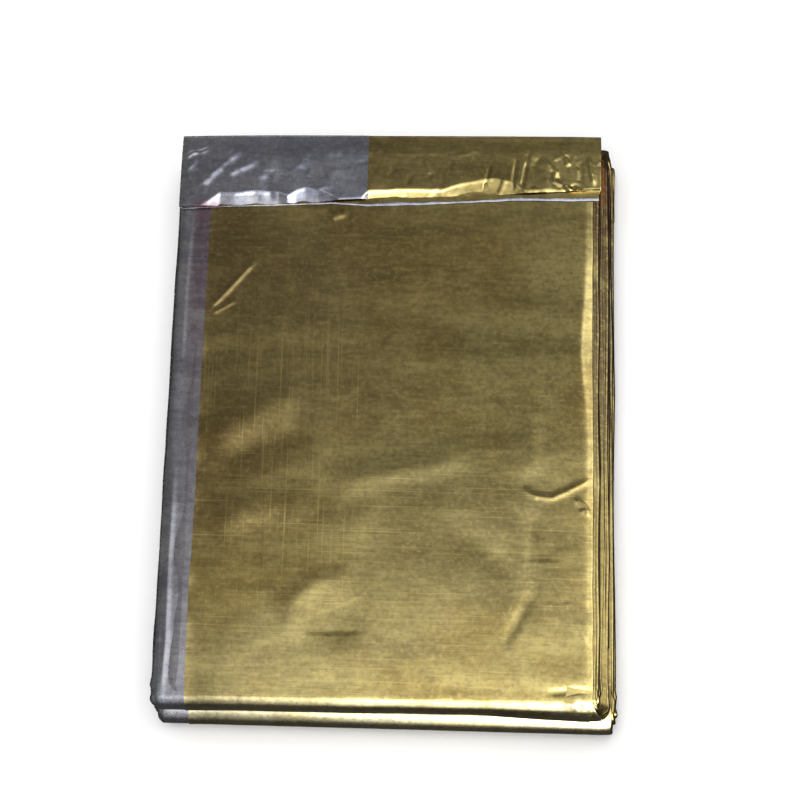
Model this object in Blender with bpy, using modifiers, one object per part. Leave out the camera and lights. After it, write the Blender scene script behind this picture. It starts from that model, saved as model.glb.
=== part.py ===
"""An emergency foil blanket, folded into a flat packet and lying on its back.

The blanket is one sheet of thin film, gold on one side and silver on the other. It is pleated into a
strip as wide as the packet, and the strip goes back and forth sixteen times. What is left of it turns back
over the far end of the top as a short flap. Here the strip is one thicker sheet that goes back and forth
eight times, so each layer stands for two of the strip's, or about thirty-six films with the air between.

Units are metres. +X is to the right of the packet's face, +Y to its flap, and +Z up. The origin is the
middle of the packet's footprint, on the surface that it lies on.
"""

import collections
import math

import bmesh
import bpy

MM = 0.001

# Packet
PACKET_WIDTH = 92.0 * MM
PACKET_LENGTH = 120.0 * MM
NEAR_EDGE = -PACKET_LENGTH / 2
FAR_EDGE = PACKET_LENGTH / 2

# The far end lies at a slant: its right corner is farther out than its left one
FAR_SLANT = 2.5 * MM
SLANT_CENTRING = 1.206 * MM

# Layers of the strip, and the folds that join them
LAYER_THICKNESS = 1.7 * MM
LAYER_GAP = 0.5 * MM
LAYER_PITCH = LAYER_THICKNESS + LAYER_GAP
ROLL_REACH = 1.5 * LAYER_PITCH + LAYER_THICKNESS / 2
TUCK_REACH = 0.5 * LAYER_PITCH + LAYER_THICKNESS / 2

# How far some folds and the inner end stay back from the packet's ends
UPPER_ROLL_SETBACK = 1.35 * MM
BOTTOM_TUCK_SETBACK = 1.2 * MM
FLAP_FOLD_SETBACK = 1.2 * MM
INNER_END_SETBACK = 2.2 * MM

# Where the centres of the folds lie
LOWER_ROLL_Y = NEAR_EDGE + ROLL_REACH
UPPER_ROLL_Y = LOWER_ROLL_Y + UPPER_ROLL_SETBACK
BACK_ROLL_Y = FAR_EDGE - ROLL_REACH
BOTTOM_TUCK_Y = FAR_EDGE - TUCK_REACH - BOTTOM_TUCK_SETBACK
INNER_END_Y = FAR_EDGE - INNER_END_SETBACK

# Flap over the far end, which is thinner than a layer and lies slanting
FLAP_THICKNESS = 0.8 * MM
FLAP_GAP = 0.3 * MM
FLAP_FOLD_Y = FAR_EDGE - FLAP_FOLD_SETBACK
FLAP_REACH_LEFT = 16.3 * MM
FLAP_REACH_RIGHT = 14.3 * MM
FLAP_ARCH = 0.7 * MM
TAPER_Y = 48.0 * MM

# How far each layer's sides are from the packet's middle line, from the bottom layer up to the flap
Sides = collections.namedtuple("Sides", "left right")
LAYER_SIDES = (
    Sides(44.9 * MM, 45.5 * MM),
    Sides(45.3 * MM, 46.0 * MM),
    Sides(45.8 * MM, 45.2 * MM),
    Sides(45.1 * MM, 44.6 * MM),
    Sides(46.0 * MM, 43.6 * MM),
    Sides(45.4 * MM, 42.7 * MM),
    Sides(44.9 * MM, 41.5 * MM),
    Sides(45.6 * MM, 39.6 * MM),
    Sides(45.5 * MM, 41.4 * MM),
)
FLAP = len(LAYER_SIDES) - 1
TOP = FLAP - 1

# Heights counted in layers, so that layer 0 lies at level 0. Under the flap the top layer is thin
THIN_LEVEL = TOP + (LAYER_THICKNESS - FLAP_THICKNESS) / 2 / LAYER_PITCH
FLAP_LEVEL = THIN_LEVEL + (FLAP_THICKNESS + FLAP_GAP) / LAYER_PITCH

# The strip from the flap's free edge to its inner end, as the straight runs between folds
Run = collections.namedtuple("Run", "layer level end_level y end_y thickness end_thickness steps")
FLAP_EDGE_Y = FAR_EDGE - FLAP_REACH_LEFT
LAYER_STEPS = 9


def whole_run(layer, y, end_y):
    return Run(layer, layer, layer, y, end_y, LAYER_THICKNESS, LAYER_THICKNESS, LAYER_STEPS)


STRIP_RUNS = (
    Run(FLAP, FLAP_LEVEL, FLAP_LEVEL, FLAP_EDGE_Y, FLAP_FOLD_Y, FLAP_THICKNESS, FLAP_THICKNESS, 6),
    Run(TOP, THIN_LEVEL, TOP, FLAP_FOLD_Y, TAPER_Y, FLAP_THICKNESS, LAYER_THICKNESS, 3),
    whole_run(7, TAPER_Y, UPPER_ROLL_Y),
    whole_run(4, UPPER_ROLL_Y, BACK_ROLL_Y),
    whole_run(3, BACK_ROLL_Y, LOWER_ROLL_Y),
    whole_run(0, LOWER_ROLL_Y, BOTTOM_TUCK_Y),
    whole_run(1, BOTTOM_TUCK_Y, LOWER_ROLL_Y),
    whole_run(2, LOWER_ROLL_Y, BACK_ROLL_Y),
    whole_run(5, BACK_ROLL_Y, UPPER_ROLL_Y),
    whole_run(6, UPPER_ROLL_Y, INNER_END_Y),
)
ROLL_STEPS = 10
TUCK_STEPS = 6

# A place along the strip. Its flap share is 1 at the flap's free edge and 0 outside the flap
Station = collections.namedtuple("Station", "level y thickness flap_share sides")

# How the packet is uneven
SIDE_DIP = 0.045
END_DIP = 0.03
SWELL = 0.008
SWELL_WAVES_X = 55.0
SWELL_WAVES_Y = 48.0
SWELL_START_X = 0.6
SWELL_START_Y = 1.1
SIDE_WANDER = 0.45 * MM
SIDE_WAVES = 70.0

# Across the strip
SILVER_MARGIN = 6.5 * MM
GOLD_COLUMNS = 8
SIDE_ROUNDING = 0.5 * MM
SIDE_ROUNDING_STEPS = 2


def clear_scene():
    for obj in list(bpy.data.objects):
        bpy.data.objects.remove(obj, do_unlink=True)


def foil_material(name, colour, roughness):
    material = bpy.data.materials.new(name)
    material.use_nodes = True
    shader = material.node_tree.nodes["Principled BSDF"]
    shader.inputs["Base Color"].default_value = (*colour, 1.0)
    shader.inputs["Roughness"].default_value = roughness
    shader.inputs["Metallic"].default_value = 1.0
    return material


def mix(a, b, share):
    return a + (b - a) * share


def layer_sides(layer, y):
    """A layer's sides, which wander a little along the packet."""
    wander = SIDE_WANDER * math.sin(SIDE_WAVES * y + 2 * layer) ** 2 * (1 - (2 * y / PACKET_LENGTH) ** 2)
    return Sides(LAYER_SIDES[layer].left - wander, LAYER_SIDES[layer].right - wander)


def run_stations(run):
    """The places along a straight run, with both of its ends."""
    stations = []
    for step in range(run.steps + 1):
        share = step / run.steps
        y = mix(run.y, run.end_y, share)
        level = mix(run.level, run.end_level, share)
        thickness = mix(run.thickness, run.end_thickness, share)
        flap_share = 1 - share if run.layer == FLAP else 0
        stations.append(Station(level, y, thickness, flap_share, layer_sides(run.layer, y)))
    return stations


def fold_stations(before, after, outward):
    """The half circle that joins the end of a run to the start of the next, without those two places."""
    middle = (before.level + after.level) / 2
    half = (before.level - after.level) / 2
    steps = ROLL_STEPS if abs(half) > 1 else TUCK_STEPS
    stations = []
    for step in range(1, steps):
        angle = math.pi * step / steps
        y = before.y + outward * abs(half) * LAYER_PITCH * math.sin(angle)
        sides = Sides(*(mix(a, b, step / steps) for a, b in zip(before.sides, after.sides)))
        stations.append(Station(middle + half * math.cos(angle), y, before.thickness, 0, sides))
    return stations


def strip_stations():
    """Every place along the strip's middle line, from the flap's free edge to the inner end."""
    stations = run_stations(STRIP_RUNS[0])
    for run, following in zip(STRIP_RUNS, STRIP_RUNS[1:]):
        onward = run_stations(following)
        if following.level == run.end_level:
            stations += onward[1:]
        else:
            outward = math.copysign(1.0, run.end_y - run.y)
            stations += fold_stations(stations[-1], onward[0], outward) + onward
    return stations


def stack_share(x, y):
    """How much of its full height the stack has at a place. It dips to the sides and ends."""
    side = SIDE_DIP * (2 * x / PACKET_WIDTH) ** 4
    end = END_DIP * (2 * y / PACKET_LENGTH) ** 6
    swell = math.sin(SWELL_WAVES_X * x + SWELL_START_X) * math.sin(SWELL_WAVES_Y * y + SWELL_START_Y)
    return 1 - side - end + SWELL * swell


def slanted(x, y):
    """Where a place along the packet comes to lie when its far end is at a slant."""
    return y + FAR_SLANT * (x / PACKET_WIDTH + 0.5) * (y / PACKET_LENGTH + 0.5) - SLANT_CENTRING


def sheet_point(station, column):
    """A point of the strip's middle surface. Column 0 is its left side, and column 1 ends the silver."""
    left, right = station.sides
    if column == 0:
        x = -left
    else:
        x = mix(SILVER_MARGIN - left, right, (column - 1) / GOLD_COLUMNS)
    y = station.y
    if station.flap_share > 0:
        reach = mix(FLAP_REACH_LEFT, FLAP_REACH_RIGHT, x / PACKET_WIDTH + 0.5)
        y = mix(FLAP_FOLD_Y, FAR_EDGE - reach, station.flap_share)
    arch = FLAP_ARCH * math.sin(math.pi * station.flap_share)
    z = LAYER_THICKNESS / 2 + station.level * LAYER_PITCH * stack_share(x, y) + arch
    return x, slanted(x, y), z


def build_blanket(collection):
    """The strip as a grid that is bent along its runs and folds, and then given its thickness."""
    stations = strip_stations()
    last_row = len(stations) - 1
    last_column = GOLD_COLUMNS + 1
    shape = bmesh.new()
    bmesh.ops.create_grid(shape, x_segments=last_column, y_segments=last_row, size=0.5)
    weights = shape.verts.layers.deform.new()
    for vert in shape.verts:
        column = round((vert.co.x + 0.5) * last_column)
        station = stations[round((vert.co.y + 0.5) * last_row)]
        vert.co = sheet_point(station, column)
        vert[weights][0] = (station.thickness - FLAP_THICKNESS) / (LAYER_THICKNESS - FLAP_THICKNESS)
    for face in shape.faces:
        face.smooth = True
        across = sum(vert.co.x for vert in face.verts) / 4
        face.material_index = 1 if across < SILVER_MARGIN - PACKET_WIDTH / 2 else 0
    mesh = bpy.data.meshes.new("foil_blanket")
    shape.to_mesh(mesh)
    shape.free()
    mesh.materials.append(foil_material("foil_gold", (0.62, 0.47, 0.12), 0.2))
    mesh.materials.append(foil_material("foil_silver", (0.56, 0.56, 0.62), 0.2))
    blanket = bpy.data.objects.new("foil_blanket", mesh)
    collection.objects.link(blanket)
    blanket.vertex_groups.new(name="layer thickness")

    solidify = blanket.modifiers.new("Layer thickness", "SOLIDIFY")
    solidify.thickness = LAYER_THICKNESS
    solidify.offset = 0.0
    solidify.use_even_offset = True
    solidify.vertex_group = "layer thickness"
    solidify.thickness_vertex_group = FLAP_THICKNESS / LAYER_THICKNESS
    bevel = blanket.modifiers.new("Rounded sides", "BEVEL")
    bevel.width = SIDE_ROUNDING
    bevel.segments = SIDE_ROUNDING_STEPS
    bevel.limit_method = "ANGLE"
    bevel.angle_limit = math.radians(60)
    bevel.use_clamp_overlap = False
    return blanket


def main():
    clear_scene()
    collection = bpy.data.collections.new("Folded foil blanket")
    bpy.context.scene.collection.children.link(collection)
    build_blanket(collection)


main()
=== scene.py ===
"""How the folded foil blanket looks: its films with their creases, its light and its camera.

The films are thin sheets that follow the solid's folds. On the packet's face they are gold, with a silver
margin on the left. The flap is silver on the left and gold on the right. Lengths here are in millimetres
unless a comment says metres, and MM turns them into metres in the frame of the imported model.
"""

import math
from collections import namedtuple

import bmesh
import bpy
import numpy as np
from mathutils import Matrix, Quaternion, Vector


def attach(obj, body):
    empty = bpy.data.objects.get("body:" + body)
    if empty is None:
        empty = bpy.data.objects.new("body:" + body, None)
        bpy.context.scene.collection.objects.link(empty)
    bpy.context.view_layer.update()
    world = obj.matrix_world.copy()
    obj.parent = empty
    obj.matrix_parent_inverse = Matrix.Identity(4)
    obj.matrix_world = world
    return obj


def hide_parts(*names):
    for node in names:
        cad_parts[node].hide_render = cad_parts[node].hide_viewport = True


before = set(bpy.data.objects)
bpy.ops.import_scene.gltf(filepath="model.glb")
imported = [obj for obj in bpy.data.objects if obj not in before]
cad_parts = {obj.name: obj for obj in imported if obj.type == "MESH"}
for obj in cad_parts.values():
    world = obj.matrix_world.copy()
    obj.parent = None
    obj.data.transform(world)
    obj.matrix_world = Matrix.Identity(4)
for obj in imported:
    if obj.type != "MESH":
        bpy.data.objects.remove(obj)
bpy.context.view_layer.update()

MM = 0.001
NODE = "foil_blanket"
BODY = "root"

# The solid's layers and folds, in millimetres
PITCH = 2.2
HALF_LAYER = 0.85
HALF_INNER = 1.08
NEAR_EDGE = -60.0
FAR_EDGE = 60.0
ROLL_REACH = 1.5 * PITCH + HALF_LAYER
LOWER_ROLL_Y = NEAR_EDGE + ROLL_REACH
UPPER_ROLL_Y = LOWER_ROLL_Y + 1.35
BACK_ROLL_Y = FAR_EDGE - ROLL_REACH
TUCK_Y = FAR_EDGE - 0.5 * PITCH - HALF_LAYER - 1.2
INNER_END_Y = FAR_EDGE - 2.2
LEFT_SIDES = (44.9, 45.3, 45.8, 45.1, 46.0, 45.4, 44.9, 45.6)
RIGHT_SIDES = (45.5, 46.0, 45.3, 44.4, 44.0, 42.1, 41.6, 39.6)
PACKET_WIDTH = 92.0
PACKET_LENGTH = 120.0
FAR_SLANT = 2.5
SLANT_CENTRING = 1.206
UPPER_ROLL_SLANT = 0.75
UPPER_ROLL_LEAN = 0.75
CORNER_CUT = 1.0

# The flap over the far end
FLAP_FOLD_Y = FAR_EDGE - 1.2
FLAP_THICKNESS = 0.8
FLAP_GAP = 0.3
FLAP_EDGE_PLACES = (-46.0, -20.8, -0.5, 14.7, 22.0, 40.0, 46.0)
FLAP_REACHES = (16.3, 15.4, 14.2, 13.7, 13.3, 12.5, 12.3)
FLAP_LEFT = 45.5
FLAP_RIGHT = 41.4
FLAP_CUT_X = -6.9

# Where the gold film's free edge lies on the face
GOLD_EDGE_X = -39.0

Ripple = namedtuple("Ripple", "waves phases shares")
Track = namedtuple("Track", "level y ny nz half_f half_b along")
Crease = namedtuple("Crease", "height width points")


def smooth(t):
    t = np.clip(t, 0.0, 1.0)
    return t * t * (3 - 2 * t)


def mix(a, b, share):
    return a + (b - a) * share


def ripple(seed, shortest, longest, count=14):
    """A smooth random field over two coordinates, about 1 high, from waves of the given lengths."""
    chance = np.random.default_rng(seed)
    length = np.exp(chance.uniform(math.log(shortest), math.log(longest), count))
    angle = chance.uniform(0, math.pi, count)
    waves = np.stack([np.cos(angle), np.sin(angle)]) * 2 * math.pi / length
    shares = chance.uniform(0.5, 1.0, count)
    return Ripple(waves, chance.uniform(0, 2 * math.pi, count), shares / np.sqrt((shares**2).sum()))


def rippled(field, a, b):
    total = np.zeros(np.broadcast(a, b).shape)
    for k in range(len(field.phases)):
        total += field.shares[k] * np.sin(field.waves[0, k] * a + field.waves[1, k] * b + field.phases[k])
    return total


# The strip's middle line


def slanted(x, y):
    """Where a place along the packet comes to lie when its far end is at a slant."""
    return y + FAR_SLANT * (x / PACKET_WIDTH + 0.5) * (y / PACKET_LENGTH + 0.5)


def stack_share(x, y):
    side = 0.045 * (2 * x / PACKET_WIDTH) ** 4
    end = 0.03 * (2 * y / PACKET_LENGTH) ** 6
    swell = 0.008 * np.sin(0.055 * x + 0.6) * np.sin(0.048 * y + 1.1)
    return 1 - side - end + swell


def run_track(level, y0, y1, halves, step):
    """A straight run. halves are the half thickness on the face side at its start, middle and end."""
    count = max(2, round(abs(y1 - y0) / step) + 1)
    y = np.linspace(y0, y1, count)
    from_start = np.abs(y - y0)
    from_end = np.abs(y - y1)
    first = mix(halves[0], halves[1], smooth(from_start / 8))
    last = mix(halves[2], halves[1], smooth(from_end / 8))
    half = first + last
    way = math.copysign(1.0, y1 - y0)
    flat = np.zeros(count)
    return Track(flat + level, y, flat, flat - way, half - halves[1], flat + HALF_INNER, from_start)


def fold_track(level0, level1, y, outward, half_f, steps):
    """A half circle between two levels."""
    angle = np.linspace(0, math.pi, steps + 1)[1:-1]
    half = (level0 - level1) / 2
    turn = math.copysign(1.0, half)
    flat = np.zeros(len(angle))
    return Track(
        (level0 + level1) / 2 + half * np.cos(angle),
        y + outward * abs(half) * PITCH * np.sin(angle),
        -turn * np.sin(angle),
        -outward * np.cos(angle),
        flat + half_f,
        flat + HALF_INNER,
        angle * abs(half) * PITCH,
    )


def join_tracks(*tracks):
    """One track out of several, with the distance along it counted on."""
    columns = [np.concatenate(column) for column in zip(*tracks)]
    joined = Track(*columns)
    steps = np.hypot(np.diff(joined.y), np.diff(joined.level) * PITCH)
    return joined._replace(along=np.concatenate([[0.0], np.cumsum(steps)]))


def surface(track, x, offset):
    """Points at x across the strip and at an offset from its middle line, towards the face side."""
    level = track.level[:, None]
    y = track.y[:, None] + offset * track.ny[:, None]
    upper = smooth((level - 3.2) / 0.6) * smooth((-35.0 - y) / 20.0)
    on_roll = smooth((6.9 - level) / 1.4) * smooth((UPPER_ROLL_Y - y) / 1.5)
    lean = on_roll * smooth((38.0 - x) / 24.0)
    y = y + (UPPER_ROLL_SLANT * x / PACKET_WIDTH + UPPER_ROLL_LEAN * lean) * upper
    height = HALF_LAYER + level * PITCH * stack_share(x, y)
    return np.stack([x + 0 * y, y, height + offset * track.nz[:, None]], axis=-1)


# Sheets of film


def film_object(name, rows, material):
    """A sheet through rows of points, in millimetres and without the slant. rows may be several grids."""
    grids = rows if isinstance(rows, list) else [rows]
    mesh = bpy.data.meshes.new(name)
    whole = bmesh.new()
    for grid in grids:
        down, across = grid.shape[:2]
        bmesh.ops.create_grid(whole, x_segments=across - 1, y_segments=down - 1, size=0.5)
    whole.to_mesh(mesh)
    whole.free()
    places = np.concatenate([grid.reshape(-1, 3) for grid in grids])
    places[:, 1] = slanted(places[:, 0], places[:, 1]) - SLANT_CENTRING
    places = places * MM
    mesh.vertices.foreach_set("co", places.astype(np.float32).ravel())
    mesh.polygons.foreach_set("use_smooth", [True] * len(mesh.polygons))
    mesh.update()
    mesh.materials.append(material)
    piece = bpy.data.objects.new(name, mesh)
    bpy.context.scene.collection.objects.link(piece)
    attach(piece, BODY)
    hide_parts(NODE)
    return piece


# Creases


def crease_height(x, y, creases):
    """The height that creases add. Each is a ridge, or a trough where its height is below 0."""
    x, y = np.broadcast_arrays(x, y)
    total = np.zeros(x.shape)
    for crease in creases:
        highest = np.zeros(x.shape)
        points = np.array(crease.points, float)
        pieces = np.linalg.norm(np.diff(points, axis=0), axis=1)
        before = np.concatenate([[0.0], np.cumsum(pieces)])
        low = points.min(axis=0) - 3 * crease.width
        high = points.max(axis=0) + 3 * crease.width
        near = (x > low[0]) & (x < high[0]) & (y > low[1]) & (y < high[1])
        px, py = x[near], y[near]
        best = np.zeros(px.shape)
        for k in range(len(pieces)):
            way = (points[k + 1] - points[k]) / pieces[k]
            share = (px - points[k, 0]) * way[0] + (py - points[k, 1]) * way[1]
            share = np.clip(share, 0, pieces[k])
            away = np.hypot(px - points[k, 0] - share * way[0], py - points[k, 1] - share * way[1])
            along = (before[k] + share) / before[-1]
            fade = smooth(along / 0.25) * smooth((1 - along) / 0.25)
            best = np.maximum(best, np.exp(-((away / crease.width) ** 2)) * fade)
        highest[near] = best
        total += crease.height * highest
    return total


# Creases on the face, in millimetres: height, width, and points from one end to the other
FACE_CREASES = (
    Crease(0.24, 0.50, ((-38.8, 21.4), (-34.5, 26.4), (-28.6, 33.6))),
    Crease(0.14, 0.45, ((-38.0, 21.0), (-32.4, 24.4))),
    Crease(0.21, 3.3, ((-37.0, -4.6), (-31.0, -1.0), (-24.0, 3.0), (-17.0, 7.4))),
    Crease(-0.18, 3.2, ((-36.0, -10.0), (-26.0, -6.0), (-15.0, -3.0))),
    Crease(0.14, 2.6, ((-14.0, -14.0), (-4.0, -11.6), (6.0, -9.6), (18.0, -5.6))),
    Crease(0.18, 3.4, ((-36.0, -22.0), (-26.0, -18.0), (-14.0, -19.0))),
    Crease(-0.10, 3.0, ((8.0, -20.0), (18.0, -25.0), (26.0, -33.0), (31.0, -44.0))),
    Crease(0.10, 2.0, ((27.1, 6.0), (27.4, -6.0), (27.0, -13.0))),
    Crease(-0.12, 1.6, ((27.6, -15.0), (28.0, -28.0), (28.6, -43.0))),
    Crease(-0.16, 1.3, ((28.6, -32.0), (24.4, -40.7), (22.0, -45.6))),
    Crease(-0.26, 4.8, ((-11.8, -36.6), (-10.4, -40.2), (-10.2, -44.6))),
    Crease(0.16, 2.6, ((-19.0, -46.0), (-18.6, -38.0), (-14.0, -33.4), (-6.4, -32.4))),
    Crease(0.22, 0.9, ((-14.6, 42.4), (-12.4, 43.2), (-10.6, 43.6))),
    Crease(0.24, 0.50, ((25.4, -13.2), (28.2, -14.9), (31.4, -15.2), (34.0, -14.0), (40.2, -10.7))),
    Crease(0.22, 0.50, ((36.0, -15.0), (37.6, -16.2), (39.4, -18.6))),
    Crease(0.16, 0.42, ((36.8, -18.0), (38.0, -17.6), (39.2, -18.6))),
    Crease(0.04, 0.42, ((29.5, -36.3), (33.0, -36.7), (36.8, -36.0))),
    Crease(0.03, 0.42, ((24.0, -28.5), (29.0, -28.1), (34.4, -28.3))),
    Crease(0.05, 0.45, ((31.8, -33.2), (35.0, -38.6), (39.4, -45.6))),
    Crease(-0.20, 0.75, ((30.0, -53.7), (34.0, -53.4), (37.0, -53.1), (40.4, -53.6))),
    Crease(0.006, 0.45, ((-39.0, -25.2), (-10.0, -25.5), (39.0, -25.6))),
    Crease(0.004, 0.45, ((-24.0, -5.3), (6.0, -5.6), (38.0, -5.9))),
    Crease(0.004, 0.45, ((-12.0, 4.1), (10.0, 4.0), (30.0, 3.7))),
    Crease(0.004, 0.45, ((-20.0, 14.5), (2.0, 14.3), (34.0, 14.0))),
    Crease(0.004, 0.45, ((-6.0, 27.2), (14.0, 27.1), (32.0, 26.8))),
    Crease(0.005, 0.45, ((-25.2, 34.0), (-24.6, 10.0), (-24.9, -20.0), (-24.0, -36.0))),
    Crease(0.004, 0.45, ((-19.0, 30.0), (-18.4, 4.0), (-18.8, -30.0))),
    Crease(0.004, 0.45, ((-15.6, 20.0), (-15.2, -10.0), (-15.8, -38.0))),
    Crease(0.08, 0.60, ((-10.6, 42.8), (-9.4, 40.6), (-10.4, 38.8))),
)

# Creases that only the silver margin has
MARGIN_CREASES = (
    Crease(
        0.17,
        0.55,
        ((-43.5, -8.0), (-43.4, -21.3), (-43.5, -29.7), (-43.2, -41.2), (-43.1, -45.3), (-43.6, -58.0)),
    ),
    Crease(0.10, 0.40, ((-42.6, 46.0), (-43.0, 38.0), (-43.3, 26.0), (-43.2, 8.0))),
)


def random_creases(seed, count, box, longest, height):
    """Small creases at chance places, in a box of low x, high x, low y, high y."""
    chance = np.random.default_rng(seed)
    creases = []
    for _ in range(count):
        start = np.array([chance.uniform(box[0], box[1]), chance.uniform(box[2], box[3])])
        angle = chance.uniform(0, math.pi)
        length = chance.uniform(0.25, 1.0) * longest
        middle = start + length / 2 * np.array([math.cos(angle), math.sin(angle)])
        bend = angle + chance.uniform(-0.5, 0.5)
        end = middle + length / 2 * np.array([math.cos(bend), math.sin(bend)])
        tall = height * chance.uniform(0.4, 1.0) * chance.choice([-1.0, 1.0])
        creases.append(Crease(tall, chance.uniform(0.4, 0.7), (start, middle, end)))
    return creases


FACE_CLOUDS = ripple(11, 13.0, 40.0)
FACE_WRINKLES = ripple(12, 4.0, 11.0, 24)

# How far apart a film's points are, in millimetres
FACE_SPACING = 0.34
PLAIN_SPACING = 0.9
GROOVE_SPACING = 0.8
BOTTOM_SPACING = 1.6
TUCK_SPACING = 1.2
STRIP_SPACING = 1.1
FLAP_SPACING = 0.24


def near_dip(v):
    """How far the face's film sinks before it rises over the near roll."""
    return 0.30 * smooth((-50.0 - v) / 5.5) * smooth((v + 61.5) / 3.5)


def face_height(x, v):
    """How the face's film stands proud of the solid. v is y on the face, and goes on round the roll."""
    height = 0.045 * rippled(FACE_CLOUDS, x, v) + 0.005 * rippled(FACE_WRINKLES, x, v)
    height += crease_height(x, v, FACE_CREASES)
    height += crease_height(x, v, random_creases(21, 50, (-38, 39, -52, 44), 8.0, 0.014))
    height += crease_height(x, v, random_creases(22, 16, (33, 40, -66, -54), 4.0, 0.11))
    height -= near_dip(v)
    return height * smooth((v + 74.0) / 12.0)


# Where the films that can be seen go on out of sight: under the flap, in the groove and at the far end
FACE_START_Y = 57.5
GROOVE_END_Y = -44.0
INSIDE_END_Y = 46.0
PLAIN_HALVES = (HALF_LAYER, HALF_LAYER, HALF_LAYER)


def face_track():
    """From under the flap over the face, round the upper roll and into the groove below it."""
    top = run_track(7, FACE_START_Y, UPPER_ROLL_Y, PLAIN_HALVES, FACE_SPACING)
    roll = fold_track(7, 4, UPPER_ROLL_Y, -1, HALF_LAYER, 34)
    under = run_track(4, UPPER_ROLL_Y, GROOVE_END_Y, PLAIN_HALVES, GROOVE_SPACING)
    return join_tracks(top, roll, under)


def base_track():
    """Out of the groove, round the lower roll, under the packet and round the tuck at the far end."""
    groove = run_track(3, GROOVE_END_Y, LOWER_ROLL_Y, PLAIN_HALVES, GROOVE_SPACING)
    roll = fold_track(3, 0, LOWER_ROLL_Y, -1, HALF_LAYER, 34)
    bottom = run_track(0, LOWER_ROLL_Y, TUCK_Y, PLAIN_HALVES, BOTTOM_SPACING)
    tuck = fold_track(0, 1, TUCK_Y, 1, HALF_LAYER, 12)
    inside = run_track(1, TUCK_Y, INSIDE_END_Y, PLAIN_HALVES, TUCK_SPACING)
    return join_tracks(groove, roll, bottom, tuck, inside)


def back_track():
    """Round the roll at the far end."""
    below = run_track(2, INSIDE_END_Y, BACK_ROLL_Y, PLAIN_HALVES, GROOVE_SPACING)
    roll = fold_track(2, 5, BACK_ROLL_Y, 1, HALF_LAYER, 30)
    above = run_track(5, BACK_ROLL_Y, INSIDE_END_Y, PLAIN_HALVES, GROOVE_SPACING)
    return join_tracks(below, roll, above)


def strip_track():
    """The whole strip from the top layer's far end to its inner end."""
    outer = PLAIN_HALVES
    opening = (HALF_LAYER, HALF_INNER, HALF_INNER)
    closing = (HALF_INNER, HALF_INNER, HALF_LAYER)
    inner = (HALF_INNER, HALF_INNER, HALF_INNER)
    step = STRIP_SPACING
    top = run_track(7, 58.0, UPPER_ROLL_Y, outer, step)
    thin = mix(HALF_INNER, FLAP_THICKNESS - HALF_LAYER, smooth((top.y - 46.0) / 11.0))
    end = run_track(6, UPPER_ROLL_Y, INNER_END_Y, inner, step)
    spread = mix(HALF_INNER, 1.75, smooth((end.y - 46.0) / 12.0))
    return join_tracks(
        top._replace(half_b=thin),
        fold_track(7, 4, UPPER_ROLL_Y, -1, HALF_LAYER, 16),
        run_track(4, UPPER_ROLL_Y, BACK_ROLL_Y, opening, step),
        fold_track(4, 3, BACK_ROLL_Y, 1, HALF_INNER, 8),
        run_track(3, BACK_ROLL_Y, LOWER_ROLL_Y, closing, step),
        fold_track(3, 0, LOWER_ROLL_Y, -1, HALF_LAYER, 16),
        run_track(0, LOWER_ROLL_Y, TUCK_Y, outer, step),
        fold_track(0, 1, TUCK_Y, 1, HALF_LAYER, 8),
        run_track(1, TUCK_Y, LOWER_ROLL_Y, opening, step),
        fold_track(1, 2, LOWER_ROLL_Y, -1, HALF_INNER, 8),
        run_track(2, LOWER_ROLL_Y, BACK_ROLL_Y, closing, step),
        fold_track(2, 5, BACK_ROLL_Y, 1, HALF_LAYER, 16),
        run_track(5, BACK_ROLL_Y, UPPER_ROLL_Y, opening, step),
        fold_track(5, 6, UPPER_ROLL_Y, -1, HALF_INNER, 8),
        end._replace(half_b=spread),
    )


def side_reach(sides, level, y):
    """How far a layer reaches to a side. Its corners at the near end are rounded off."""
    return np.interp(level, range(len(sides)), sides) - CORNER_CUT * smooth((-56.0 - y) / 4.0) ** 2


def shoulder(x, v, reach):
    """How far the face's film sinks beside its right side, most in one place."""
    wide = np.exp(-(((v - 15.0) / 10.0) ** 2))
    breadth = 2.6 + 0.9 * wide
    return (0.17 + 0.44 * wide) * smooth((x - reach + breadth) / breadth) ** 2


def around_side(reach, radius, inward, turn):
    """Across and drop of a film that turns round a side by an angle and then goes on straight."""
    angle = np.linspace(0, turn, 9)[None, :]
    across = reach[:, None] - radius + radius * np.sin(angle)
    drop = radius * (1 - np.cos(angle)) + 0 * across
    on = np.linspace(0, inward, 5)[None, 1:]
    across = np.concatenate([across, across[:, -1:] + on * math.cos(turn)], axis=1)
    drop = np.concatenate([drop, drop[:, -1:] + on * math.sin(turn)], axis=1)
    return across, drop


# Round the right side the gold film turns back sharply, and round the left the silver one bends down
GOLD_TURN_RADIUS = 0.2
GOLD_TURN_LEG = 4.0
SILVER_TURN_RADIUS = 1.4
SILVER_TURN_LEG = 1.6
SILVER_TOP = 16.0
SILVER_UNDER_GOLD = 9.0

# How far the gold film stands out of the right side
FACE_PROUD = 0.15
PLAIN_PROUD = -0.15


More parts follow.
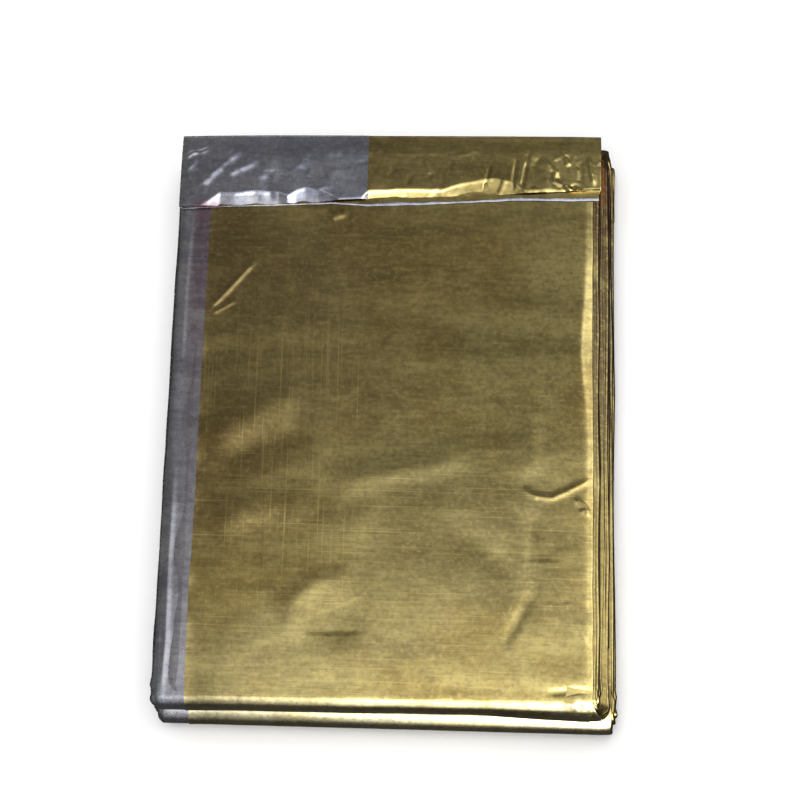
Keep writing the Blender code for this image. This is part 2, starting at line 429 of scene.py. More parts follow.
def wrap(name, track, height, margin, proud, spacing, gold, silver):
    """The gold film and the silver margin under its edge, along a stretch of the strip's face side.

    height gives the gold film's relief. margin has the creases that only the silver has. proud is how far
    the gold stands out of the right side. Every stretch is declared with the top layer's width, though the
    lower layers' gold film is 4 to 5 mm wider, and with the length of the strip's middle line.
    """
    wobble = ripple(31, 9.0, 60.0)
    along = track.along
    edge = GOLD_EDGE_X + 0.12 * rippled(wobble, along, 0.0)
    reach = side_reach(RIGHT_SIDES, track.level, track.y) + proud + 0.08 * rippled(wobble, along, 40.0)
    across, drop = around_side(reach, GOLD_TURN_RADIUS, GOLD_TURN_LEG, math.pi)
    top_width = RIGHT_SIDES[-1] - GOLD_EDGE_X
    share = np.linspace(0, 1, round(top_width / spacing))[None, :-1]
    x = np.concatenate([mix(edge[:, None], across[:, :1], share), across], axis=1)
    drop = np.concatenate([np.zeros((len(edge), share.shape[1])), drop], axis=1)
    v = (track.y[0] - along)[:, None]
    raised = 1 + rippled(ripple(32, 5.0, 16.0), along, 0.0)[:, None]
    lift = 0.07 * np.exp(-(x - edge[:, None]) / 1.2) * raised
    offset = HALF_LAYER + 0.03 + height(x, slanted(x, v)) + lift - drop - shoulder(x, v, reach[:, None])
    film = film_object(name + "_gold", surface(track, x, offset), gold)

    reach = side_reach(LEFT_SIDES, track.level, track.y) + 0.10 * rippled(wobble, along, 90.0)
    across, drop = around_side(reach, SILVER_TURN_RADIUS, SILVER_TURN_LEG, math.pi / 2)
    share = np.linspace(0, 1, round(SILVER_TOP / spacing))[None, 1:]
    top = mix(-across[:, :1], GOLD_EDGE_X + SILVER_UNDER_GOLD, share)
    x = np.concatenate([-across[:, ::-1], top], axis=1)
    drop = np.concatenate([drop[:, ::-1], np.zeros((len(edge), share.shape[1]))], axis=1)
    offset = HALF_LAYER - 0.06 + 0.8 * height(x, slanted(x, v)) + crease_height(x, v, margin) - drop
    film = film_object(name + "_silver", surface(track, x, offset), silver)


# The lower roll is fuller than round: its film rises to a crest and falls off again below it
CREST_HEIGHT = 0.36
CREST_START = -56.85
CREST_V = -59.15
CREST_END = -60.65


def plain_height(x, v):
    return 0.012 * rippled(FACE_CLOUDS, x, v + 300.0)


def base_height(x, v):
    """The film round the lower roll, with its long crest."""
    rise = np.clip((CREST_START - v) / (CREST_START - CREST_V), 0.0, 1.0)
    fall = 1 - smooth((CREST_V - v) / (CREST_V - CREST_END))
    return plain_height(x, v) + CREST_HEIGHT * rise * fall


# The films that turn round a side in each layer: where in its thickness, and how far they stay back
SideFold = namedtuple("SideFold", "start end setback")
SIDE_FOLDS = (SideFold(0.0, 0.60, 0.0), SideFold(0.60, 0.78, 0.34), SideFold(0.78, 1.0, 0.12))
SIDE_LEG = 5.0


def side_fold(track, number, sides, field):
    """One film that turns round a side of the strip, with its two legs, all along the strip."""
    fold = SIDE_FOLDS[number]
    full = track.half_f + track.half_b
    start = fold.start + 0.05 * rippled(field, track.along, 50.0) * (number > 0)
    end = fold.end - 0.05 * rippled(field, track.along, 90.0) * (number < 2)
    middle = track.half_f - (start + end) / 2 * full
    radius = (end - start) / 2 * full * 0.97
    wander = 0.28 * np.abs(rippled(field, track.along, 17.0 * number))
    crumple = smooth((-50.0 - track.y) / 4.0) * rippled(ripple(43 + number, 2.2, 7.0), track.along, 0.0)
    level = track.level + middle * track.nz / PITCH
    reach = side_reach(sides, level, track.y) - 0.12 - fold.setback - wander
    reach += 0.25 * crumple
    angle = np.linspace(-math.pi / 2, math.pi / 2, 9)[None, :]
    across = (reach - radius)[:, None] + radius[:, None] * np.cos(angle)
    offset = middle[:, None] - radius[:, None] * np.sin(angle)
    leg = (reach - SIDE_LEG)[:, None]
    across = np.concatenate([leg, across, leg], axis=1)
    offset = np.concatenate([offset[:, :1], offset, offset[:, -1:]], axis=1)
    share = (offset + track.half_b[:, None]) / full[:, None]
    v = (track.y[0] - track.along)[:, None]
    sunk = near_dip(v) + shoulder(across, v, reach[:, None]) * smooth((track.level[:, None] - 6.5) / 0.5)
    return across, offset - sunk * share * (share > 0.3)


def build_sides(gold, silver):
    track = strip_track()
    for name, side, sides, material, seed in (
        ("foil_sides_gold", 1, RIGHT_SIDES, gold, 41),
        ("foil_sides_silver", -1, LEFT_SIDES, silver, 42),
    ):
        field = ripple(seed, 30.0, 160.0, 20)
        grids = []
        for number in range(len(SIDE_FOLDS)):
            across, offset = side_fold(track, number, sides, field)
            grids.append(surface(track, side * across, offset))
        film = film_object(name, grids, material)


# The flap

THIN_LEVEL = 7 + (2 * HALF_LAYER - FLAP_THICKNESS) / 2 / PITCH
FLAP_LEVEL = THIN_LEVEL + (FLAP_THICKNESS + FLAP_GAP) / PITCH

# The flap's film bends down to its free edge: how wide the bent strip is and how steep, from left to right
Bend = namedtuple("Bend", "x width slope")
FLAP_BENDS = (
    Bend(-46.0, 0.4, 0.10),
    Bend(-41.0, 0.5, 0.15),
    Bend(-39.5, 1.2, 0.30),
    Bend(-37.2, 2.9, 0.34),
    Bend(-34.0, 2.6, 0.36),
    Bend(-30.3, 3.0, 0.34),
    Bend(-25.1, 2.5, 0.34),
    Bend(-23.2, 1.7, 0.34),
    Bend(-21.4, 2.9, 0.34),
    Bend(-19.8, 3.3, 0.32),
    Bend(-16.7, 2.5, 0.33),
    Bend(-13.9, 1.3, 0.33),
    Bend(-12.8, 0.5, 0.25),
    Bend(-8.0, 0.6, 0.25),
    Bend(-6.6, 2.0, 0.48),
    Bend(-0.5, 2.0, 0.48),
    Bend(8.5, 1.7, 0.40),
    Bend(12.0, 2.8, 0.30),
    Bend(19.0, 3.8, 0.27),
    Bend(22.5, 2.8, 0.26),
    Bend(25.5, 0.9, 0.25),
    Bend(42.0, 0.7, 0.25),
)
FLAP_CREASES = (
    Crease(0.36, 1.1, ((-42.4, 47.6), (-38.6, 51.6), (-33.0, 57.0))),
    Crease(0.28, 1.0, ((-36.6, 50.6), (-33.4, 52.4), (-29.2, 54.4))),
    Crease(0.12, 1.4, ((-30.4, 49.6), (-27.4, 52.8), (-26.0, 56.0))),
    Crease(-0.14, 0.9, ((-28.6, 51.0), (-27.0, 47.4), (-26.6, 45.0))),
    Crease(0.12, 1.6, ((-18.0, 47.8), (-14.6, 50.4), (-14.0, 54.0))),
    Crease(0.22, 0.5, ((-45.0, 54.0), (-43.4, 55.6), (-41.0, 56.0), (-39.4, 57.0))),
    Crease(0.16, 0.5, ((-44.6, 51.6), (-43.2, 53.0), (-42.4, 54.6))),
    Crease(-0.12, 0.35, ((17.1, 47.8), (17.6, 51.0), (18.5, 55.4))),
    Crease(-0.14, 0.35, ((23.0, 48.2), (23.2, 51.6), (23.8, 57.0))),
    Crease(-0.16, 0.40, ((24.7, 48.6), (25.5, 53.0), (26.5, 58.6))),
    Crease(0.12, 0.5, ((20.0, 47.6), (20.8, 49.6), (21.6, 52.0))),
    Crease(0.20, 0.6, ((28.6, 56.4), (31.8, 53.4), (31.4, 50.4))),
    Crease(0.26, 0.50, ((33.4, 58.4), (34.0, 56.4), (34.6, 54.4))),
    Crease(0.24, 0.50, ((31.0, 51.8), (33.9, 50.0), (36.8, 48.8))),
    Crease(0.14, 1.2, ((28.0, 54.0), (29.6, 51.0), (30.0, 48.4))),
    Crease(-0.14, 0.6, ((36.4, 56.0), (37.2, 53.0), (37.0, 50.0))),
    Crease(0.22, 0.45, ((33.6, 50.4), (35.4, 49.0), (37.2, 48.4))),
    Crease(-0.18, 0.45, ((34.6, 49.6), (36.0, 50.6), (37.6, 49.6))),
    Crease(0.24, 0.45, ((38.6, 57.4), (39.2, 54.0), (39.8, 50.2))),
    Crease(0.12, 0.45, ((26.6, 50.0), (28.4, 48.8), (30.6, 48.4))),
    Crease(0.10, 0.8, ((28.6, 55.6), (31.0, 56.4), (34.0, 56.6))),
    Crease(0.05, 0.40, ((-4.0, 56.7), (2.0, 56.6), (9.0, 56.8))),
    Crease(0.16, 0.6, ((11.0, 56.4), (13.6, 57.0), (16.0, 58.0))),
    Crease(0.16, 1.2, ((-22.6, 57.2), (-20.4, 54.6), (-20.6, 52.0))),
)


def flap_reach(x):
    return np.interp(x, FLAP_EDGE_PLACES, FLAP_REACHES)


def flap_height(x, y):
    """How the flap's outer film stands above the plain flap."""
    from_edge = y - (FAR_EDGE - flap_reach(x))
    to_fold = np.maximum(FLAP_FOLD_Y - y, 0.0)
    places = [bend.x for bend in FLAP_BENDS]
    width = np.interp(x, places, [bend.width for bend in FLAP_BENDS])
    slope = np.interp(x, places, [bend.slope for bend in FLAP_BENDS])
    bent = np.maximum(width - np.maximum(from_edge, 0), 0)
    height = 0.35 * smooth(to_fold / 4.0) - slope * bent * smooth(bent / 0.9)
    y = slanted(x, y)
    height += 0.035 * rippled(ripple(51, 6.0, 22.0), x, y) + 0.006 * rippled(ripple(52, 2.0, 6.0), x, y)
    height += crease_height(x, y, FLAP_CREASES)
    height += crease_height(x, y, random_creases(53, 26, (25, 40, 48, 57), 4.0, 0.10))
    height += crease_height(x, y, random_creases(54, 70, (-44, 24, 45, 57), 4.5, 0.07))
    return height * smooth(to_fold / 1.5 + 0.2)


# The flap's film goes this far back below the far fold
FLAP_BELOW = 11.0


def flap_surface(x, lower):
    """The flap's film from its free edge over the far fold and back below, at columns x.

    lower is how far it lies below the flap's outer surface.
    """
    half = FLAP_THICKNESS / 2
    radius = (FLAP_LEVEL - THIN_LEVEL) / 2 * PITCH
    rows = round(15.0 / FLAP_SPACING)
    share = np.linspace(0, 1, rows)[:, None]
    y = mix(FAR_EDGE - flap_reach(x), FLAP_FOLD_Y, share)
    z = HALF_LAYER + FLAP_LEVEL * PITCH * stack_share(x, y) + half + flap_height(x, y) - lower
    angle = np.linspace(0, math.pi, 13)[1:, None]
    fold_y = FLAP_FOLD_Y + (radius + half - lower) * np.sin(angle) + 0 * x
    middle = HALF_LAYER + (FLAP_LEVEL + THIN_LEVEL) / 2 * PITCH * stack_share(x, fold_y)
    fold_z = middle + (radius + half - lower) * np.cos(angle)
    below = np.linspace(FLAP_FOLD_Y, FLAP_FOLD_Y - FLAP_BELOW, 12)[1:, None] + 0 * x
    sink = (HALF_INNER + half) * smooth((FLAP_FOLD_Y - below) / FLAP_BELOW)
    below_z = HALF_LAYER + THIN_LEVEL * PITCH * stack_share(x, below) - half + lower - 0.6 * sink
    return np.concatenate([y, fold_y, below]), np.concatenate([z, fold_z, below_z])


# The outer film's side edges turn down and back under
FLAP_TURN_RADIUS = 0.25
FLAP_TURN_LEG = 3.0
FLAP_GOLD_START_X = -15.0
FLAP_GOLD_COLUMNS = 200
FLAP_SILVER_COLUMNS = 140
FLAP_TURNED_ROWS = 12


def flap_film(name, x, down, lower, material):
    """A part of the flap's outer film at columns x, whose side edge turns down and under."""
    y, z = flap_surface(x[None, :], lower)
    upper_rows = len(y) - FLAP_TURNED_ROWS
    turned = np.concatenate([-np.ones(upper_rows), np.ones(FLAP_TURNED_ROWS)])[:, None]
    film = film_object(name, np.stack([x + 0 * y, y, z + turned * down], axis=-1), material)


def build_flap(gold, silver):
    across, drop = around_side(np.array([FLAP_RIGHT]), FLAP_TURN_RADIUS, FLAP_TURN_LEG, math.pi)
    x = np.concatenate([np.linspace(FLAP_GOLD_START_X, across[0, 0], FLAP_GOLD_COLUMNS)[:-1], across[0]])
    down = np.concatenate([np.zeros(FLAP_GOLD_COLUMNS - 1), drop[0]])
    flap_film("foil_flap_gold", x, down, 0.06, gold)

    across, drop = around_side(np.array([FLAP_LEFT]), FLAP_TURN_RADIUS, FLAP_TURN_LEG, math.pi)
    x = np.concatenate([-across[0, ::-1], np.linspace(-across[0, 0], FLAP_CUT_X, FLAP_SILVER_COLUMNS)[1:]])
    down = np.concatenate([drop[0, ::-1], np.zeros(FLAP_SILVER_COLUMNS - 1)])
    flap_film("foil_flap_silver", x, down, 0.0, silver)


# Places along the flap's edge, for how far the next films reach past it
INNER_EDGE_PLACES = (-46.0, -14.0, -7.0, 3.5, 13.7, 23.8, 34.0)


def build_flap_inside(gold, silver):
    """The next films of the flap, whose free edges show below its outer film."""
    for name, material, reaches, lower, rise, curl, seed in (
        ("foil_flap_inner_gold", gold, (0.0, 0.1, 0.8, 1.0, 0.9, 0.7, 1.2), 0.20, 0.40, 0.02, 61),
        ("foil_flap_inner_silver", silver, (0.15, 0.3, 1.3, 1.5, 1.37, 1.2, 1.7), 0.42, 0.20, 0.14, 62),
    ):
        x = np.linspace(-FLAP_LEFT + 0.6, FLAP_RIGHT - 0.5, 260)[None, :]
        past = np.interp(x, INNER_EDGE_PLACES, reaches) + 0.08 * rippled(ripple(seed, 3.0, 30.0), x, 0.0)
        edge = FAR_EDGE - flap_reach(x) - past
        y = edge + np.array([0.0, 0.12, 0.25, 0.4, 0.7, 1.2, 2.0, 3.5, 6.0, 10.5])[:, None]
        top = HALF_LAYER + 7 * PITCH * stack_share(x, y) + HALF_LAYER
        slope = smooth((y - edge - 0.5) / 4.0)
        down = curl * np.exp(-(y - edge) / 0.4)
        unevenness = 0.02 * rippled(ripple(seed + 1, 2.0, 8.0), x, y)
        z = top + 0.12 + rise - down + slope * (0.75 - lower) + unevenness
        points = np.stack([x + 0 * y, y, z], axis=-1)
        film = film_object(name, points, material)


FLAP_SIDE_RADIUS = 0.11
FLAP_SIDE_LEG = 6.0


def build_flap_sides(gold, silver):
    """The turned sides of the flap's other films."""
    for name, side, reach, material in (
        ("foil_flap_sides_gold", 1, FLAP_RIGHT, gold),
        ("foil_flap_sides_silver", -1, FLAP_LEFT, silver),
    ):
        grids = []
        for fold in range(2):
            out = reach - 0.25 - 0.2 * fold
            radius = FLAP_SIDE_RADIUS
            angle = np.linspace(-math.pi / 2, math.pi / 2, 7)
            inner = out - FLAP_SIDE_LEG
            across = np.concatenate([[inner], out - radius * (1 - np.cos(angle)), [inner]])[None, :]
            step = np.concatenate([[-radius], radius * np.sin(angle), [radius]])[None, :]
            x = side * across
            y = mix(FAR_EDGE - flap_reach(x), FLAP_FOLD_Y, np.linspace(0, 1, 16)[:, None])
            top = HALF_LAYER + FLAP_LEVEL * PITCH * stack_share(x, y) + FLAP_THICKNESS / 2
            held = flap_height(x[:, :1] + 0 * y[:, :1], y[:, :1])
            z = top + held - 0.35 - 0.25 * fold + step
            grids.append(np.stack([x + 0 * y, y, z], axis=-1))
        film = film_object(name, grids, material)


def build_inner_end(gold, silver):
    """The strip's inner end, which shows at the far end below the flap's fold."""
    for name, material, places, seed in (
        ("foil_end_gold", gold, (-0.85, -0.2, 0.5, 1.2), 71),
        ("foil_end_silver", silver, (-0.55, 0.15, 0.85, 1.5), 72),
    ):
        grids = []
        field = ripple(seed, 6.0, 50.0)
        x = np.linspace(-44.0, 40.8, 90)[None, :]
        for number, place in enumerate(places):
            end = INNER_END_Y - 0.25 + 0.35 * rippled(field, x, 40.0 * number)
            y = mix(46.0, end, np.linspace(0, 1, 9)[:, None])
            z = HALF_LAYER + 6 * PITCH * stack_share(x, y) + place * smooth((y - 44.0) / 10.0)
            grids.append(np.stack([x + 0 * y, y, z], axis=-1))
        film = film_object(name, grids, material)


# Materials


def link(tree, source, target):
    tree.links.new(source, target)


def add_node(tree, kind, settings=None, **inputs):
    node = tree.nodes.new(kind)
    for key, value in (settings or {}).items():
        setattr(node, key, value)
    for key, value in inputs.items():
        socket = node.inputs[key.replace("_", " ")]
        if isinstance(value, bpy.types.NodeSocket):
            tree.links.new(value, socket)
        else:
            socket.default_value = value
    return node


def ramp(tree, value, start, end):
    """Rises smoothly from 0 to 1 between two values."""
    settings = {"interpolation_type": "SMOOTHSTEP"}
    node = add_node(tree, "ShaderNodeMapRange", settings, Value=value, From_Min=start, From_Max=end)
    return node.outputs[0]


def multiplied(tree, a, b):
    """a times b, where b is a socket or a number."""
    node = add_node(tree, "ShaderNodeMath", {"operation": "MULTIPLY"})
    link(tree, a, node.inputs[0])
    if isinstance(b, bpy.types.NodeSocket):
        link(tree, b, node.inputs[1])
    else:
        node.inputs[1].default_value = b
    return node.outputs[0]


def tinted(tree, colour, tint, share):
    """A colour that goes over into a tint by a share."""
    node = add_node(tree, "ShaderNodeMix", {"data_type": "RGBA"})
    link(tree, share, node.inputs["Factor"])
    if isinstance(colour, bpy.types.NodeSocket):
        link(tree, colour, node.inputs[6])
    else:
        node.inputs[6].default_value = (*colour, 1.0)
    node.inputs[7].default_value = (*tint, 1.0)
    return node.outputs[2]


def streaks(tree, place, scale, start, end):
    """Thin lines along one way, at chance places: where stretched noise rises past a value."""
    stretched = add_node(tree, "ShaderNodeMapping", Vector=place, Scale=scale).outputs[0]
    noise = noise_value(tree, stretched, 1.0, 2.0)
    return ramp(tree, noise, start, end)


def within(tree, value, low, high, soft):
    """1 between two values, and 0 from a soft step outside them."""
    return multiplied(tree, ramp(tree, value, low - soft, low), ramp(tree, value, high + soft, high))


def patch(tree, axes, x_range, y_range):
    """1 inside an oblong of the packet. Each range has its low end, its high end and its soft step."""
    return multiplied(tree, within(tree, axes["X"], *x_range), within(tree, axes["Y"], *y_range))


def hairlines(tree, colour, light, in_mm, axes):
    """Fine light lines that are drawn both ways on the gold film's face."""
    left_half = within(tree, axes["X"], -36.0, -10.0, 6.0)
    lower_part = within(tree, axes["Y"], -22.0, 4.0, 26.0)
    upright = multiplied(tree, streaks(tree, in_mm, (2.2, 0.03, 1.0), 0.55, 0.72), left_half)
    colour = tinted(tree, colour, light, multiplied(tree, multiplied(tree, upright, lower_part), 0.6))
    near_half = within(tree, axes["Y"], -52.0, -12.0, 8.0)
    across = multiplied(tree, streaks(tree, in_mm, (0.035, 2.6, 1.0), 0.56, 0.75), near_half)
    return tinted(tree, colour, light, multiplied(tree, across, 0.55))


def gold_painted_light(tree, colour, axes):
    """Painted light on the gold film: painted shade makes it browner at the left and darker in patches and
    in the groove between the rolls, and a painted highlight makes it paler at the near end.
    """
    # Painted shade: browner and darker towards the far left
    far_left = multiplied(tree, ramp(tree, axes["X"], 25.0, -40.0), ramp(tree, axes["Y"], -42.0, 26.0))
    colour = tinted(tree, colour, (0.46, 0.32, 0.12), multiplied(tree, far_left, 0.9))
    # Painted shade in a patch right of the middle
    shaded_patch = patch(tree, axes, (4.0, 28.0, 12.0), (-32.0, -10.0, 10.0))
    colour = tinted(tree, colour, (0.42, 0.35, 0.13), multiplied(tree, shaded_patch, 0.6))
    # Painted shade at the left side
    left_side = patch(tree, axes, (-38.0, -26.0, 8.0), (-24.0, -4.0, 10.0))
    colour = tinted(tree, colour, (0.44, 0.29, 0.09), multiplied(tree, left_side, 0.6))
    # Painted shade at the near left
    near_left = multiplied(tree, ramp(tree, axes["X"], 0.0, -24.0), ramp(tree, axes["Y"], -34.0, -50.0))
    colour = tinted(tree, colour, (0.48, 0.39, 0.14), multiplied(tree, near_left, 0.6))
    # Painted highlight: paler on the rolls at the near end
    high = multiplied(tree, ramp(tree, axes["Z"], 3.5, 6.5), 0.8)
    roll = multiplied(tree, ramp(tree, axes["Y"], -56.0, -59.0), high)
    # Painted shade: nearly black in the groove between the rolls
    groove = multiplied(tree, within(tree, axes["Z"], 8.0, 9.5, 0.25), ramp(tree, axes["Y"], -50.0, -54.0))
    colour = tinted(tree, colour, (0.82, 0.78, 0.55), roll)
    return tinted(tree, colour, (0.16, 0.09, 0.015), groove)


def side_painted_shade_and_reflection(tree, colour, axes):
    """Painted light on the turned sides: painted shade makes them darker towards the far end, and painted
    reflections give them a red cast in places.
    """
    # Painted shade, darker towards the far end
    upper = ramp(tree, axes["Y"], -50.0, 20.0)
    colour = tinted(tree, colour, (0.17, 0.115, 0.035), upper)
    # Painted reflection: a red cast near the flap
    redder = multiplied(tree, ramp(tree, axes["Y"], 22.0, 50.0), 0.7)
    colour = tinted(tree, colour, (0.17, 0.06, 0.02), redder)
    # Painted reflection: a bright red-orange patch beside the flap's right side
    red_reflection_patch = multiplied(tree, within(tree, axes["X"], 41.4, 42.7, 0.4), ramp(tree, axes["Y"], 46.0, 53.0))
    return tinted(tree, colour, (0.62, 0.15, 0.02), red_reflection_patch)


def silver_places(tree, colour, axes):
    """The silver film has a pink cast beside the gold's edge and a grey one at the outer side."""
    on_face = ramp(tree, axes["Y"], 45.0, 43.0)
    beside_gold = multiplied(tree, ramp(tree, axes["X"], -43.6, -41.0), ramp(tree, axes["X"], -34.0, -39.0))
    colour = tinted(tree, colour, (0.72, 0.69, 0.77), multiplied(tree, beside_gold, 0.8))
    redder = multiplied(tree, multiplied(tree, beside_gold, ramp(tree, axes["Y"], -10.0, 42.0)), on_face)
    colour = tinted(tree, colour, (0.47, 0.29, 0.38), redder)
    on_flap = multiplied(tree, ramp(tree, axes["Y"], 43.0, 45.0), 0.5)
    colour = tinted(tree, colour, (0.52, 0.56, 0.76), on_flap)
    return tinted(tree, colour, (0.52, 0.56, 0.62), ramp(tree, axes["X"], -43.2, -45.0))


def noise_value(tree, vector, scale, detail, **inputs):
    """Smooth noise from 0 to 1 over a vector."""
    node = add_node(tree, "ShaderNodeTexNoise", Vector=vector, Scale=scale, Detail=detail, **inputs)
    return node.outputs["Fac"]


# In metres
GRAIN_HEIGHT = 0.0000035


def foil_material(name, main, deep, roughness, places, drawn_lines=False):
    """A lacquered metal film: clouds between two colours, fine mottling and a drawn grain.

    places tints it where one part of the packet differs from another; on the gold films these tints are
    painted shade, painted reflections and a painted highlight.
    """
    material = bpy.data.materials.new(name)
    material.use_nodes = True
    tree = material.node_tree
    shader = tree.nodes["Principled BSDF"]
    shader.inputs["Metallic"].default_value = 1.0
    shader.inputs["Coat Weight"].default_value = 0.6
    shader.inputs["Coat Roughness"].default_value = 0.12
    shader.inputs["Coat IOR"].default_value = 1.8
    place = add_node(tree, "ShaderNodeTexCoord").outputs["Object"]
    in_mm = add_node(tree, "ShaderNodeMapping", Vector=place, Scale=(1000, 1000, 1000)).outputs[0]
    axes = add_node(tree, "ShaderNodeSeparateXYZ", Vector=in_mm).outputs

    cloud = noise_value(tree, in_mm, 0.045, 4.0, Roughness=0.6)
    colour = tinted(tree, main, deep, ramp(tree, cloud, 0.38, 0.66))
    dark = tuple(0.50 * part for part in deep)
    light = tuple(min(1.32 * part, 1.0) for part in main)
    colour = places(tree, colour, axes)
    aslant = add_node(
        tree, "ShaderNodeMapping", Vector=in_mm, Rotation=(0, 0, math.radians(-27)), Scale=(0.035, 0.15, 0.1)
    ).outputs[0]
    sideways = add_node(tree, "ShaderNodeMapping", Vector=in_mm, Scale=(0.22, 1.3, 1.0)).outputs[0]
    for vector, scale, detail, strength in (
        (aslant, 1.0, 3.0, 0.55),
        (in_mm, 0.30, 3.0, 0.26),
        (in_mm, 1.0, 4.0, 0.38),
        (sideways, 1.0, 4.0, 0.26),
    ):
        noise = noise_value(tree, vector, scale, detail, Roughness=0.6)
        colour = tinted(tree, colour, dark, multiplied(tree, ramp(tree, noise, 0.52, 0.30), strength))
        colour = tinted(tree, colour, light, multiplied(tree, ramp(tree, noise, 0.50, 0.72), strength))
    if drawn_lines:
        colour = hairlines(tree, colour, light, in_mm, axes)
    link(tree, colour, shader.inputs["Base Color"])

    grain = noise_value(tree, in_mm, 2.6, 3.0, Roughness=0.65)
    stretched = add_node(tree, "ShaderNodeMapping", Vector=in_mm, Scale=(0.05, 4.0, 1.0)).outputs[0]
    drawn = noise_value(tree, stretched, 1.0, 2.0)
    rough = add_node(
        tree, "ShaderNodeMapRange", Value=grain, From_Min=0.3, From_Max=0.7,
        To_Min=roughness - 0.04, To_Max=roughness + 0.06,
    ).outputs[0]
    link(tree, rough, shader.inputs["Roughness"])
    relief = add_node(tree, "ShaderNodeMath", {"operation": "MULTIPLY_ADD"})
    link(tree, drawn, relief.inputs[0])
    relief.inputs[1].default_value = 0.5
    link(tree, grain, relief.inputs[2])
    bump = add_node(tree, "ShaderNodeBump", Strength=1.0, Distance=GRAIN_HEIGHT, Height=relief.outputs[0])
    link(tree, bump.outputs[0], shader.inputs["Normal"])
    return material


# Floor, light and camera


# In metres. The film's underside reaches a little below 0, and the floor is below it
FLOOR_SIZE = 6.0
FLOOR_Z = -0.0003


def build_floor():
    bpy.ops.mesh.primitive_plane_add(size=FLOOR_SIZE, location=(0, 0, FLOOR_Z))
    floor = bpy.context.object
    floor.name = "pale_floor"
    paint = bpy.data.materials.new("pale_floor")
    paint.use_nodes = True
    shader = paint.node_tree.nodes["Principled BSDF"]
    shader.inputs["Base Color"].default_value = (0.86, 0.86, 0.86, 1.0)
    shader.inputs["Roughness"].default_value = 0.9
    floor.data.materials.append(paint)
    floor.visible_glossy = False


# A soft box is brightest in its middle. It is made of nested lamps, each a little nearer, in metres
LampRing = namedtuple("LampRing", "size share nearer")
LAMP_RINGS = (
    LampRing(1.20, 0.08, 0.0),
    LampRing(1.03, 0.14, 0.01),
    LampRing(0.88, 0.26, 0.02),
    LampRing(0.74, 0.52, 0.03),
)


# Sizes are in metres. Each is a metre from the packet and looks at it. Azimuth 0 is the near side, and 90
# the right. With shine a box is seen in the film and lights nothing else. Without, it lights the floor alone
SoftBox = namedtuple("SoftBox", "name azimuth elevation size radiance turned shine", defaults=(0.0, True))
SOFT_BOXES = (
    SoftBox("key", 32, 43, (0.98, 0.90), 4.4),
    SoftBox("low", 24, 37, (1.2, 0.80), 0.42),
    SoftBox("front", 34, 70, (0.8, 0.44), 0.55),
    SoftBox("above", 68, 72, (0.84, 1.22), 0.66, turned=40),
    SoftBox("side", 94, 46, (0.9, 0.8), 1.15),
    SoftBox("far", 150, 64, (0.6, 0.6), 0.08),
    SoftBox("back", 200, 14, (1.5, 0.4), 0.4),
    SoftBox("overhead", 0, 88, (1.3, 1.3), 4.9, shine=False),
)


def build_soft_box(soft_box):
    turn = math.radians(soft_box.azimuth)
    up = math.radians(soft_box.elevation)
    way = Vector((math.sin(turn) * math.cos(up), -math.cos(turn) * math.cos(up), math.sin(up)))
    for number, ring in enumerate(LAMP_RINGS):
        lamp = bpy.data.lights.new(f"{soft_box.name}_{number}", "AREA")
        lamp.shape = "RECTANGLE"
        lamp.size = ring.size * soft_box.size[0]
        lamp.size_y = ring.size * soft_box.size[1]
        lamp.energy = ring.share * soft_box.radiance * math.pi * lamp.size * lamp.size_y
        box = bpy.data.objects.new(f"{soft_box.name}_{number}", lamp)
        bpy.context.scene.collection.objects.link(box)
        box.location = way * (1 - ring.nearer)
        box.rotation_mode = "QUATERNION"
        spin = Quaternion((0, 0, 1), math.radians(soft_box.turned))
        box.rotation_quaternion = way.to_track_quat("Z", "Y") @ spin
        box.visible_diffuse = not soft_box.shine
        box.visible_glossy = soft_box.shine


# The room's own light, from below the horizon and from above
ROOM_LOW = (0.045, 0.043, 0.041)
ROOM_HIGH = (0.13, 0.125, 0.12)


def build_light():
    world = bpy.data.worlds.new("studio")
    bpy.context.scene.world = world
    world.use_nodes = True
    tree = world.node_tree
    height = add_node(
        tree, "ShaderNodeSeparateXYZ", Vector=add_node(tree, "ShaderNodeTexCoord").outputs["Generated"]
    ).outputs["Z"]
    colour = tinted(tree, ROOM_LOW, ROOM_HIGH, ramp(tree, height, -0.1, 0.6))
    link(tree, colour, tree.nodes["Background"].inputs["Color"])
    for soft_box in SOFT_BOXES:
        build_soft_box(soft_box)
    bpy.context.scene.view_settings.view_transform = "Standard"


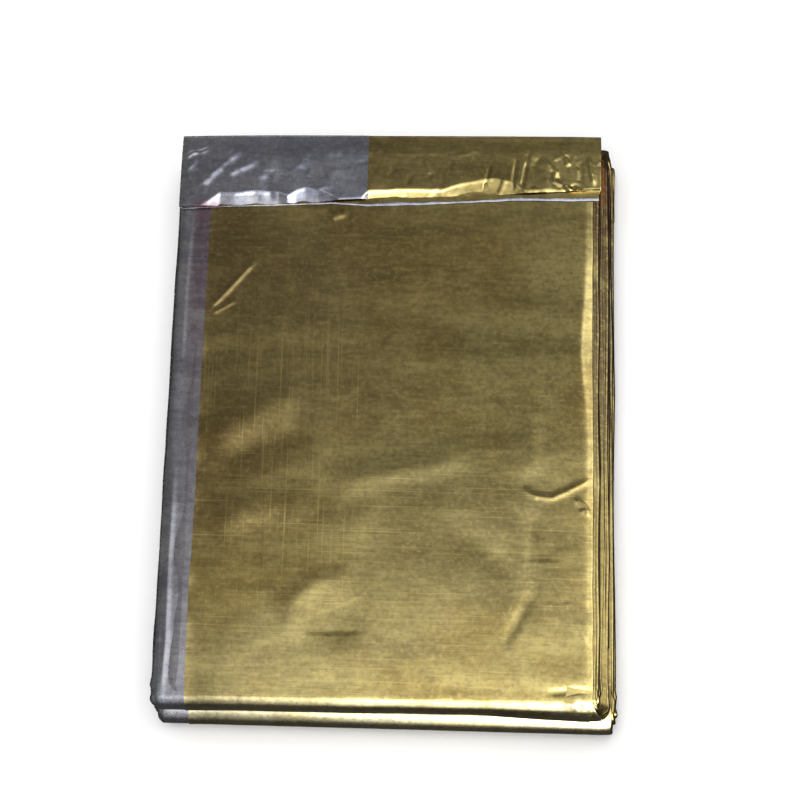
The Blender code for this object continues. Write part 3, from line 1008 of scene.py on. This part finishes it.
# Lens in millimetres, angles in degrees, distance and place in metres
SENSOR_WIDTH = 36.0
FOCAL_LENGTH = 83.1
CAMERA_ELEVATION = 75
CAMERA_ROLL = 1.58
CAMERA_DISTANCE = 0.378
CAMERA_LOOKS_AT = (0.0010, 0.00615 - SLANT_CENTRING * MM, 0.009)


def build_camera():
    lens = bpy.data.cameras.new("camera")
    lens.sensor_width = SENSOR_WIDTH
    lens.lens = FOCAL_LENGTH
    camera = bpy.data.objects.new("camera", lens)
    bpy.context.scene.collection.objects.link(camera)
    look_at = Vector(CAMERA_LOOKS_AT)
    elevation = math.radians(CAMERA_ELEVATION)
    roll = math.radians(CAMERA_ROLL)
    back = Vector((0, -math.cos(elevation), math.sin(elevation)))
    right = Vector((1, 0, 0))
    up = back.cross(right)
    turned_right = math.cos(roll) * right + math.sin(roll) * up
    turned_up = math.cos(roll) * up - math.sin(roll) * right
    axes = Matrix((turned_right, turned_up, back)).transposed()
    camera.matrix_world = Matrix.Translation(look_at + CAMERA_DISTANCE * back) @ axes.to_4x4()
    bpy.context.scene.camera = camera


GOLD_ROUGHNESS = 0.20
SILVER_ROUGHNESS = 0.24

gold = foil_material(
    "foil_gold", (0.74, 0.605, 0.215), (0.54, 0.39, 0.10), GOLD_ROUGHNESS, gold_painted_light, drawn_lines=True
)
# A darker copy of the gold for the turned sides: painted shade, since deep folds get less light
shaded_gold_side = foil_material(
    "foil_gold_side", (0.58, 0.46, 0.15), (0.44, 0.32, 0.08), GOLD_ROUGHNESS, side_painted_shade_and_reflection
)
silver = foil_material(
    "foil_silver", (0.78, 0.80, 0.92), (0.60, 0.61, 0.72), SILVER_ROUGHNESS, silver_places
)
build_camera()
build_floor()
build_light()
wrap("foil_face", face_track(), face_height, MARGIN_CREASES, FACE_PROUD, FACE_SPACING, gold, silver)
wrap("foil_base", base_track(), base_height, (), PLAIN_PROUD, PLAIN_SPACING, gold, silver)
wrap("foil_back", back_track(), plain_height, (), PLAIN_PROUD, PLAIN_SPACING, gold, silver)
build_sides(shaded_gold_side, silver)
build_flap(gold, silver)
build_flap_inside(gold, silver)
build_flap_sides(shaded_gold_side, silver)
build_inner_end(gold, silver)
